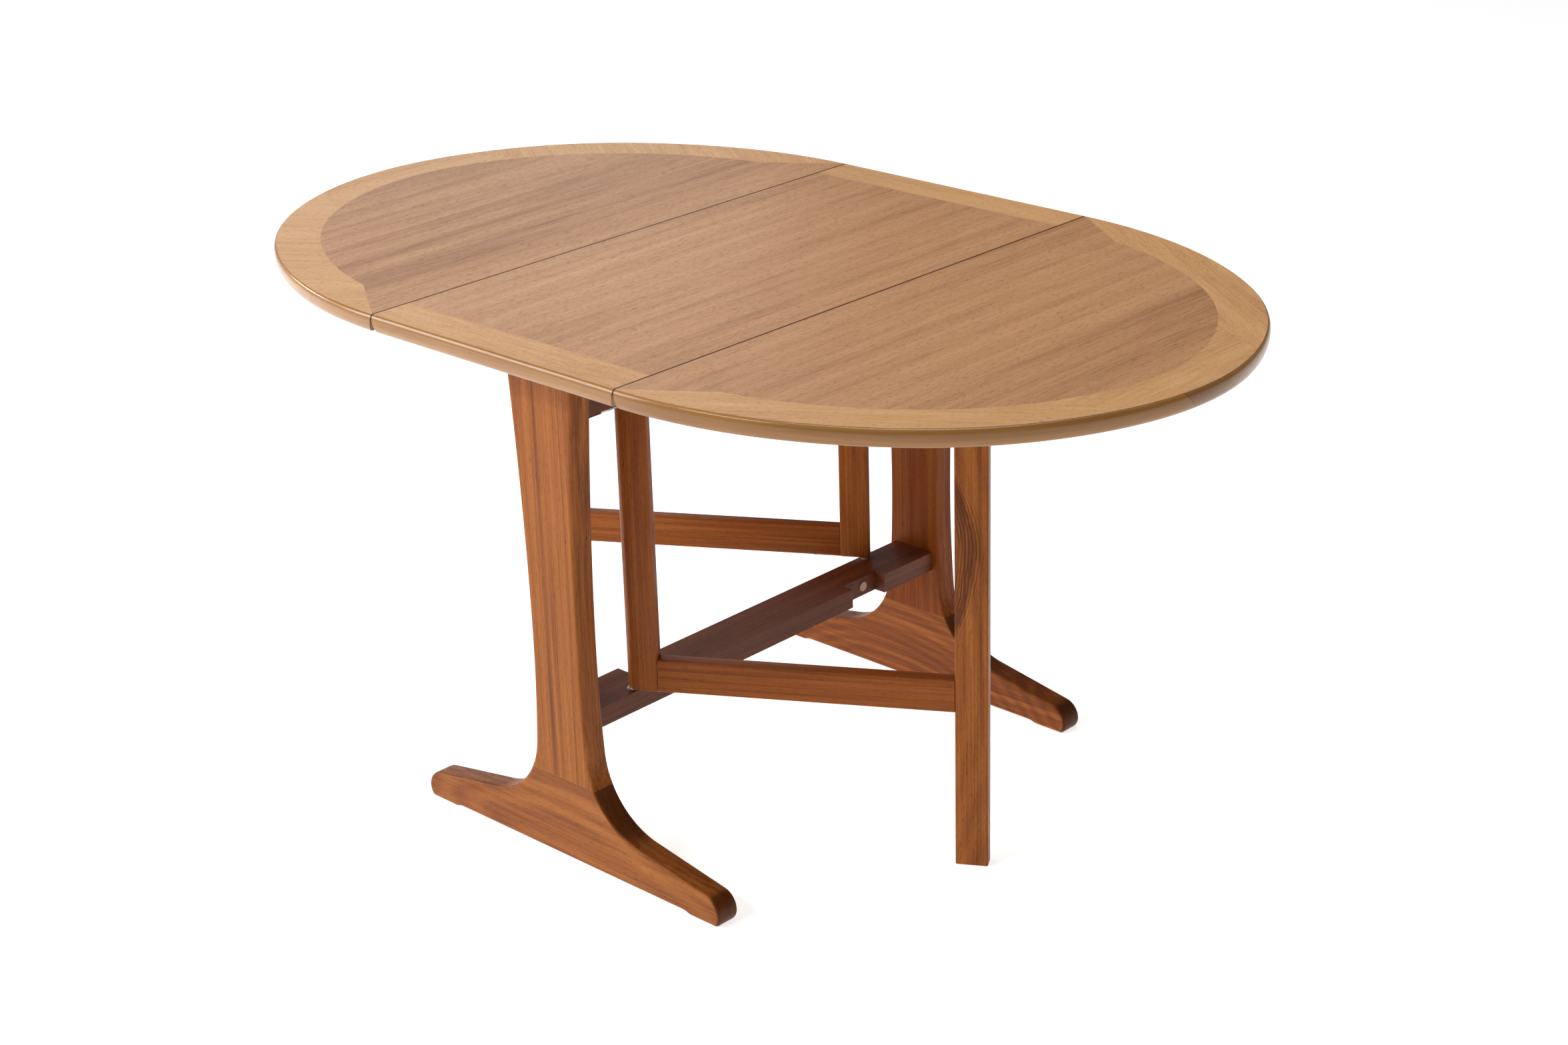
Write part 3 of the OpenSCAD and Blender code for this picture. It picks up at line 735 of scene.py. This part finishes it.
@dataclass
class TableTop:
    """Three boards with veneer, borders, solid edgings and a carved lipping all round."""

    hinge_x: float = 0.2211
    panel_x: float = 0.2199
    half_length: float = 0.44652
    surface_z: float = 0.735
    under_z: float = 0.711
    core_z: float = 0.7343
    lip_z: float = 0.7263
    lean: float = 0.0055
    inner: float = -0.008
    tip: tuple = ((0.38046, 0.0), 0.362)
    shoulder: tuple = ((0.3051, -0.02198), 0.4405)
    flank: tuple = ((0.2211, -0.13398), 0.5805)
    tip_end: tuple = (0.96, 0.28)
    shoulder_end: tuple = (0.6, 0.8)
    no_limit: float = 9.0
    pitch: float = 0.007

    def lean_at(self, z: np.ndarray) -> np.ndarray:
        """How far the hinge edge leans back at a height: lean times depth share to 1.5."""
        share = np.clip((self.surface_z - z) / (self.surface_z - self.under_z), 0, 1)
        return self.lean * share ** 1.5

    def leaf_path(self) -> tuple[np.ndarray, np.ndarray]:
        """The leaf's arris from the near hinge end round the tip to the far one.

        Three tangent arcs each way, flank, shoulder and tip, mirrored in Y; the normal is
        the direction from the arc's centre.

        Returns:
            Points and outward normals.
        """
        bend = math.degrees(math.atan2(self.tip_end[1], self.tip_end[0]))
        turn = math.degrees(math.atan2(self.shoulder_end[1], self.shoulder_end[0]))
        parts = []
        for (centre, radius), start, end in ((self.tip, 0.0, bend), (self.shoulder, bend, turn),
                                             (self.flank, turn, 90.0)):
            count = max(3, int(math.radians(end - start) * radius / self.pitch) + 1)
            angle = np.radians(np.linspace(start, end, count))
            normal = np.stack([np.cos(angle), np.sin(angle)], -1)
            parts.append((np.array(centre) + radius * normal, normal))
        point = np.concatenate([parts[0][0], parts[1][0][1:], parts[2][0][1:]])
        normal = np.concatenate([parts[0][1], parts[1][1][1:], parts[2][1][1:]])
        flip = np.array([1.0, -1.0])
        point = np.concatenate([(point * flip)[::-1], point[1:]])
        normal = np.concatenate([(normal * flip)[::-1], normal[1:]])
        return point, normal

    def section(self) -> tuple[np.ndarray, np.ndarray]:
        """The lipping's section: reach out from the arris, and height.

        Above, the reach is 4 mm times the cosine and the height rises 8 mm times the sine;
        below, the reach falls back 6.5 mm and the height drops 15.3 mm the same way.
        """
        up = np.radians(np.linspace(90, 0, 9))
        down = np.radians(np.linspace(0, -90, 15))[1:]
        reach = np.concatenate([[self.inner, self.inner, -0.002], 0.004 * np.cos(up),
                                0.004 + 0.0065 * (np.cos(down) - 1), [-0.0025, -0.0045]])
        height = np.concatenate([[self.under_z, self.core_z, self.core_z],
                                 self.lip_z + 0.008 * np.sin(up),
                                 self.lip_z + 0.0153 * np.sin(down),
                                 [self.under_z, self.under_z]])
        return reach, height

    def carried(self, name: str, point: np.ndarray, normal: np.ndarray, low_x: float,
                high_x: float, side: Side) -> bpy.types.Object:
        """Carries the section along a path and leans its ends.

        Args:
            name: The piece's name.
            point: The arris.
            normal: Outward normals.
            low_x: The leaning limit on the low side; points short of it move to it.
            high_x: The same on the high side.
            side: The side it is turned to.
        Returns:
            The lipping.
        """
        reach, height = self.section()
        flat = point[:, None] + normal[:, None] * reach[None, :, None]
        z = np.broadcast_to(height, flat.shape[:2])
        x = np.clip(flat[..., 0], low_x + self.lean_at(z), high_x - self.lean_at(z))
        loops = half_turn(np.stack([x, flat[..., 1], z], -1), side)
        run = np.concatenate([[0], np.cumsum(np.linalg.norm(np.diff(point, axis=0), axis=1))])
        round_it = np.concatenate([[0], np.cumsum(np.hypot(np.diff(reach), np.diff(height)))])
        along = np.broadcast_to(run[:, None], z.shape) + 3.0 * side.value
        across = np.broadcast_to(round_it[None], z.shape)
        maps = np.stack([along, across, np.zeros_like(along)], -1)
        return closed_sweep(name, loops, maps)

    def build_leaf(self, side: Side, wear: Dressing) -> None:
        """Builds one leaf's lipping and dresses its veneer, borders and hidden parts."""
        word, body = side.word, f"{side.word}_leaf"
        point, normal = self.leaf_path()
        lip = self.carried(f"{body}_lip", point, normal, self.hinge_x,
                           self.no_limit, side)
        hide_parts(f"{body}_lipping")
        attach(lip, body)
        scarf = GOLD_SCARFED if side is Side.RIGHT else GOLD
        wear.dress(lip, scarf)
        LOG.info("lipping of %s", body)
        near, far = (BAND_RISING, BAND_FALLING)
        wear.dress_node(f"{body}_board", CORE)
        wear.dress_node(f"{body}_hinge_edging", EDGING)
        plain = FIELD_RIGHT if side is Side.RIGHT else FIELD_LEFT
        wear.dress_node(f"{body}_veneer", plain)
        wear.dress_node(f"{body}_band_near", near)
        wear.dress_node(f"{body}_band_far", far)
        wear.dress_node(f"{body}_band_tip", BAND_ALONG)
        wear.dress_node(f"{body}_stop", BEARER)
        for node in ("centre_plates", "leaf_plates", "pins"):
            wear.dress_node(f"{word}_hinge_{node}", ZINC)
        for node in ("panel_screws", "leaf_screws"):
            wear.dress_node(f"{word}_{node}", ZINC)

    def build_centre(self, wear: Dressing) -> None:
        """Builds the middle panel's two lippings and dresses the rest of it."""
        x = np.concatenate([[-self.panel_x], np.linspace(-0.21, 0.21, 61), [self.panel_x]])
        point = np.stack([x[::-1], np.full_like(x, self.half_length)], -1)
        normal = np.broadcast_to(np.array([0.0, 1.0]), point.shape)
        for number, side in enumerate(Side):
            name = f"centre_lip_{'far' if number == 0 else 'near'}"
            lip = self.carried(name, point, normal, -self.panel_x, self.panel_x, side)
            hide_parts("centre_lippings")
            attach(lip, "frame")
            wear.dress(lip, GOLD)
            LOG.info("%s", name)
        wear.dress_node("centre_board", CORE)
        wear.dress_node("centre_hinge_edgings", EDGING)
        wear.dress_node("centre_veneer", FIELD)
        wear.dress_node("centre_end_bands", BAND_ACROSS)


@dataclass
class Trestle:
    """One end of the underframe: a waisted post on a long low foot."""

    face_y: float = 0.3715
    thick: float = 0.035
    top_z: float = 0.711
    joint_z: float = 0.120
    waist_z: float = 0.310
    waist: float = 0.0435
    flare: float = 0.018
    bow: float = 0.262
    fillet_top: float = 0.16
    fillet: tuple = ((0.15766, 0.16851), 0.1086)
    ease: float = 0.0045
    toe: tuple = ((0.2625, 0.015), 0.019)
    nose: tuple = ((0.256, 0.015), 0.0255)
    foot_slope: tuple = ((0.22, 0.04724), (0.18, 0.05430))
    pad: tuple = ((0.226, 0.0), (0.250, 0.0), (0.27416, 0.0))
    relief: tuple = ((0.0, 0.003), (0.11, 0.003), (0.215, 0.003), (0.2205, 0.0022))
    pitch: float = 0.004

    def half_width(self, z: np.ndarray) -> np.ndarray:
        """Half the post's width at a height.

        Above the waist it grows by 18 mm times the height share to 1.8, below it by the
        square of the drop, and under 160 mm it follows the fillet's circle.
        """
        up = np.clip((z - self.waist_z) / (self.top_z - self.waist_z), 0, None)
        drop = np.clip(self.waist_z - z, 0, None)
        width = self.waist + self.flare * up ** 1.8 + self.bow * drop ** 2
        (x, height), radius = self.fillet
        fillet = x - np.sqrt(np.clip(radius ** 2 - (z - height) ** 2, 0, None))
        return np.where(z < self.fillet_top, fillet, width)

    def post_outline(self) -> tuple[np.ndarray, np.ndarray]:
        """The post's face, anticlockwise from its lower left corner, with its normals.

        The normals of the two level ends lie flat, so the joints at the foot and at the
        top stay tight.
        """
        z = np.linspace(self.joint_z, self.top_z, 80)
        w = self.half_width(z)
        right = np.stack([w, z], -1)
        outline = np.concatenate([right, right[::-1] * np.array([-1.0, 1.0])])
        normal = outward(outline)
        ends = [0, len(z) - 1, len(z), 2 * len(z) - 1]
        normal[ends] = np.stack([np.sign(outline[ends, 0]), np.zeros(4)], -1)
        return outline, normal

    def foot_outline(self) -> tuple[np.ndarray, np.ndarray]:
        """The foot's face, anticlockwise from the middle of its underside.

        Floor pad, toe circle, nose circle, sloping top and fillet up to the joint; the
        underside is cut back 3 mm between the pads.
        """
        toe = arc(*self.toe, -52.1, -10.0, 7)
        nose = arc(*self.nose, -4.0, 80.0, 14)
        rise = arc(*self.fillet, 260.0, 206.53, 18)
        relief = np.array(self.relief)
        half = np.concatenate([relief[1:], self.pad, toe[1:], nose, self.foot_slope, rise])
        half = evened(half, self.pitch)
        back = half[::-1] * np.array([-1.0, 1.0])
        outline = np.concatenate([relief[:1], half, back])
        normal = outward(outline)
        level = outline[:, 1] > self.joint_z - 1e-4
        normal[level] = np.stack([np.sign(outline[level, 0]), np.zeros(level.sum())], -1)
        return outline, normal

    def build(self, far: bool, wear: Dressing) -> None:
        """Builds the post and the foot at one end.

        Args:
            far: Whether it is the far end.
            wear: The finishes.
        """
        word, sign = ("far", 1.0) if far else ("near", -1.0)
        middle = sign * (self.face_y - self.thick / 2)
        low, high = middle - self.thick / 2, middle + self.thick / 2

        def lay(a: np.ndarray, b: np.ndarray, c: np.ndarray) -> tuple:
            """Outline across X and Z, thickness along Y."""
            return a, c, b

        post = eased_board(f"{word}_post_board", *self.post_outline(), low, high, self.ease, lay)
        foot = eased_board(f"{word}_foot_board", *self.foot_outline(), low, high, self.ease, lay)
        woods = (SHADED_FAR_POST, SHADED_FAR_FOOT) if far else (POST, FOOT)
        for piece, node, finish in zip((post, foot), (f"{word}_post", f"{word}_foot"), woods):
            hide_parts(node)
            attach(piece, "frame")
            wear.dress(piece, finish)
            LOG.info("%s", piece.name)


@dataclass
class Gate:
    """A swinging gate: a pivot stile, a low rail and a leg that stands on the floor."""

    pivot: tuple = (0.026, -0.258)
    angle: float = 31.0
    low_v: float = -0.015
    high_v: float = 0.007
    stile: tuple = (-0.008, 0.0355)
    stile_z: tuple = (0.2215, 0.6165)
    rail: tuple = (0.0355, 0.4285)
    rail_z: tuple = (0.2215, 0.2675)
    rail_high_v: float = 0.006
    leg: tuple = (0.4285, 0.472)
    leg_top: float = 0.7106
    round_corner: float = 0.015
    edge: float = 0.0028
    ease: float = 0.0016

    def spin(self, u: np.ndarray, v: np.ndarray, z: np.ndarray, side: Side) -> tuple:
        """Gate lengths u and v about the pivot, turned into the row frame."""
        c, s = math.cos(math.radians(self.angle)), math.sin(math.radians(self.angle))
        x = (self.pivot[0] + c * u - s * v) * side.value
        y = (self.pivot[1] + s * u + c * v) * side.value
        return x, y, z

    def upright(self, name: str, span: tuple, height: tuple, radii: tuple,
                side: Side) -> bpy.types.Object:
        """A post of the gate with its own radius at each long edge."""
        outline = rounded_box((span[0], self.low_v), (span[1], self.high_v), radii)
        return eased_board(name, outline, outward(outline), height[0], height[1], self.ease,
                           lambda a, b, c: self.spin(a, b, c, side), 3)

    def build(self, side: Side, wear: Dressing) -> None:
        """Builds one gate and dresses its fittings."""
        body = f"{side.word}_gate"
        edge = self.edge
        stile = self.upright(f"{body}_stile_bar", self.stile, self.stile_z,
                             (self.round_corner, edge, edge, edge), side)
        leg = self.upright(f"{body}_leg_bar", self.leg, (0.0, self.leg_top), (edge,) * 4, side)
        outline = rounded_box((self.low_v, self.rail_z[0]), (self.rail_high_v, self.rail_z[1]),
                              (edge,) * 4)
        rail = eased_board(f"{body}_rail_bar", outline, outward(outline), self.rail[0],
                           self.rail[1], 0.0003,
                           lambda a, b, c: self.spin(c, a, b, side), 2)
        parts = ((stile, "stile", GATE_STILE), (leg, "leg", GATE_LEG), (rail, "rail", GATE_RAIL))
        for piece, node, finish in parts:
            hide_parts(f"{body}_{node}")
            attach(piece, body)
            wear.dress(piece, finish)
            LOG.info("%s", piece.name)
        wear.dress_node(f"{body}_dowels", BEECH)
        for node in ("strip", "screws", "pins"):
            wear.dress_node(f"{body}_{node}", ZINC)


@dataclass
class Stretchers:
    """Two long stretchers, the bearers under the panel, and their small fittings."""

    soften: float = 0.0016

    def softened(self, node: str, finish: Wood, wear: Dressing) -> None:
        """A copy of a node with its doubles merged and its long edges broken.

        Args:
            node: The CAD node.
            finish: Its wood.
            wear: The finishes.
        """
        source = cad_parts[node]
        mesh = source.data.copy()
        work = bmesh.new()
        work.from_mesh(mesh)
        bmesh.ops.remove_doubles(work, verts=work.verts, dist=1e-6)
        bmesh.ops.dissolve_limit(work, angle_limit=math.radians(1), verts=work.verts,
                                 edges=work.edges)
        work.to_mesh(mesh)
        work.free()
        piece = bpy.data.objects.new(f"{node}_bar", mesh)
        bpy.context.scene.collection.objects.link(piece)
        edge = piece.modifiers.new("broken edges", "BEVEL")
        edge.width, edge.segments = self.soften, 3
        edge.limit_method, edge.angle_limit = "ANGLE", math.radians(40)
        edge.use_clamp_overlap = True
        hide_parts(node)
        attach(piece, "frame")
        wear.dress(piece, finish)
        LOG.info("%s", piece.name)

    def build(self, wear: Dressing) -> None:
        """Builds the stretchers and dresses the fittings that join the underframe."""
        for node in ("lower_stretcher", "upper_stretcher"):
            self.softened(node, STRETCHER, wear)
        for node in ("near_bearer", "far_bearer"):
            self.softened(node, BEARER, wear)
        for node in ("trestle_dowels", "stretcher_dowels"):
            wear.dress_node(node, BEECH)
        for node in ("notch_bumpers", "pivot_washers"):
            wear.dress_node(node, NYLON)
        for node in ("bearer_screws", "pivot_plates", "pivot_plate_screws"):
            wear.dress_node(node, ZINC)


@dataclass
class Studio:
    """Pale floor, a big soft key at the left, a soft top light, and the camera."""

    eye: tuple = (2.48195975, -2.53381760, 1.83911327)
    azimuth: float = 0.762883255
    tilt: float = 0.394359321
    roll: float = -0.0290334962
    lens: float = 64.4750
    sensor: float = 36.0
    floor_half: float = 14.0
    world: float = 0.13

    def camera(self) -> None:
        """Places the camera from its azimuth, downward tilt and roll."""
        a, e, r = self.azimuth, self.tilt, self.roll
        back = Vector((math.sin(a) * math.cos(e), -math.cos(a) * math.cos(e), math.sin(e)))
        right = Vector((0, 0, 1)).cross(back).normalized()
        up = back.cross(right)
        across = math.cos(r) * right + math.sin(r) * up
        upright = -math.sin(r) * right + math.cos(r) * up
        turn = Matrix((across, upright, back)).transposed().to_4x4()
        data = bpy.data.cameras.new("camera")
        data.sensor_width, data.lens = self.sensor, self.lens
        data.clip_end = 100.0
        camera = bpy.data.objects.new("camera", data)
        camera.matrix_world = Matrix.Translation(self.eye) @ turn
        bpy.context.scene.collection.objects.link(camera)
        bpy.context.scene.camera = camera

    def lamp(self, name: str, place: tuple, aim: tuple, size: tuple, watts: float) -> None:
        """A rectangular soft light that faces a point.

        Args:
            name: Its name.
            place: Where it hangs.
            aim: What it faces.
            size: Its width and height.
            watts: Its power.
        """
        data = bpy.data.lights.new(name, "AREA")
        data.shape, data.energy = "RECTANGLE", watts
        data.size, data.size_y = size
        lamp = bpy.data.objects.new(name, data)
        lamp.location = place
        lamp.rotation_euler = (Vector(aim) - Vector(place)).to_track_quat("-Z", "Y").to_euler()
        bpy.context.scene.collection.objects.link(lamp)

    def sky(self) -> None:
        """A white backdrop, dim as a light so that the lamps do the modelling."""
        world = bpy.data.worlds.new("studio")
        world.use_nodes = True
        tree = world.node_tree
        seen = tree.nodes.new("ShaderNodeLightPath").outputs["Is Camera Ray"]
        level = tree.nodes.new("ShaderNodeMapRange")
        level.inputs["To Min"].default_value = self.world
        level.inputs["To Max"].default_value = 1.0
        background = tree.nodes["Background"]
        background.inputs["Color"].default_value = (1.0, 1.0, 1.0, 1.0)
        tree.links.new(seen, level.inputs["Value"])
        tree.links.new(level.outputs["Result"], background.inputs["Strength"])
        bpy.context.scene.world = world

    def build(self, wear: Dressing) -> None:
        """Lays the floor, sets the lights, the sky and the camera."""
        n = 15
        line = np.linspace(-self.floor_half, self.floor_half, n)
        x, y = np.meshgrid(line, line)
        points = np.stack([x, y, np.zeros_like(x)], -1).reshape(-1, 3)
        floor = new_piece("studio_floor", points, grid_faces(n, n, wrap=False).tolist())
        wear.dress(floor, Floor("white floor"))
        self.sky()
        bpy.context.scene.view_settings.view_transform = "Standard"
        middle = (0.0, 0.0, 0.5)
        self.lamp("key", (-3.1, -3.0, 2.2), middle, (2.0, 2.0), 116.0)
        self.lamp("top", (0.2, 0.1, 3.0), middle, (1.7, 1.7), 43.0)
        self.lamp("window", (-4.8, 3.0, 1.9), (-0.3, 0.1, 0.7), (3.0, 3.0), 27.0)
        self.lamp("front strip", (-0.8, -3.75, 3.5), (0.4, -0.42, 0.73), (1.8, 0.3), 60.0)
        self.lamp("side strip", (-4.7, -1.2, 1.67), (-0.4, -0.43, 0.73), (1.6, 0.35), 44.0)
        self.camera()


def main() -> None:
    """Builds the sub-assemblies in order, each dressed as it is made."""
    logging.basicConfig(level=logging.INFO)
    wear = Dressing()
    top = TableTop()
    top.build_centre(wear)
    for side in Side:
        top.build_leaf(side, wear)
    for far in (False, True):
        Trestle().build(far, wear)
    for side in Side:
        Gate().build(side, wear)
    Stretchers().build(wear)
    Studio().build(wear)


if __name__ == "__main__":
    main()
